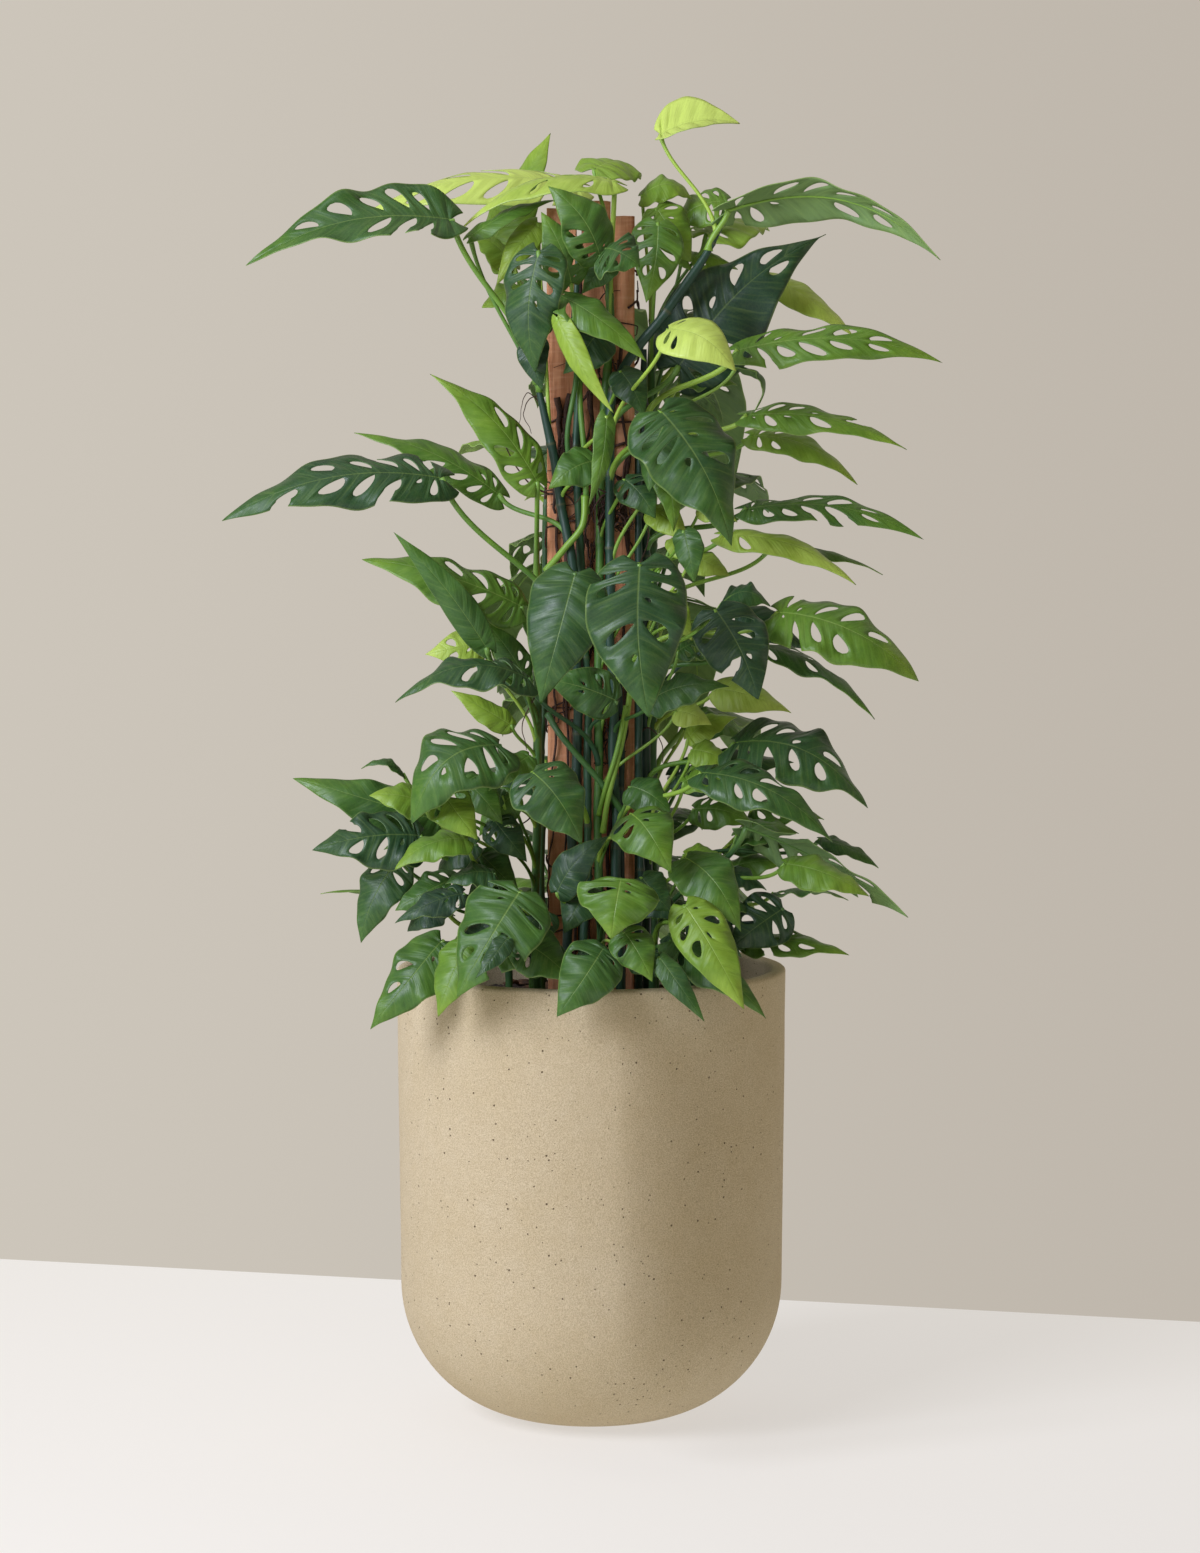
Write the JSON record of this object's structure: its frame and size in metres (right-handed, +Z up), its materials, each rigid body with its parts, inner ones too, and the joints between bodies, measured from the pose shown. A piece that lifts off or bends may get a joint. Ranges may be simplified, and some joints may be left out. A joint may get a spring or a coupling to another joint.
{
  "type": "potted swiss cheese vine",
  "caption": "Climbing vine with pierced leaves trained up rough wooden stakes in a round-bottomed cement pot.",
  "frame": {"origin": "centre of the pot's flat foot", "axes": "+Z up along the pot's axis and the stakes, -Y towards the front, +X to the right seen from the front"},
  "size_m": [0.7207, 0.6123, 1.3511],
  "materials": {
    "pot": "matte",
    "soil": "matte",
    "stake": "matte",
    "foliage": "satin"
  },
  "bodies": {
    "root": {"pot": "pot", "soil": "soil", "stake_left": "stake", "stake_middle": "stake", "stake_right": "stake", "stem_front_left": "foliage", "stem_front_middle": "foliage", "stem_front_right": "foliage", "stem_leaning": "foliage", "stem_right": "foliage", "stem_back_right": "foliage", "stem_left": "foliage", "stem_back_left": "foliage", "stem_back_middle": "foliage", "shoot_back": "foliage", "shoot_left": "foliage", "shoot_front_left": "foliage", "shoot_front": "foliage", "shoot_front_right": "foliage", "shoot_right": "foliage"}
  },
  "joints": []
}
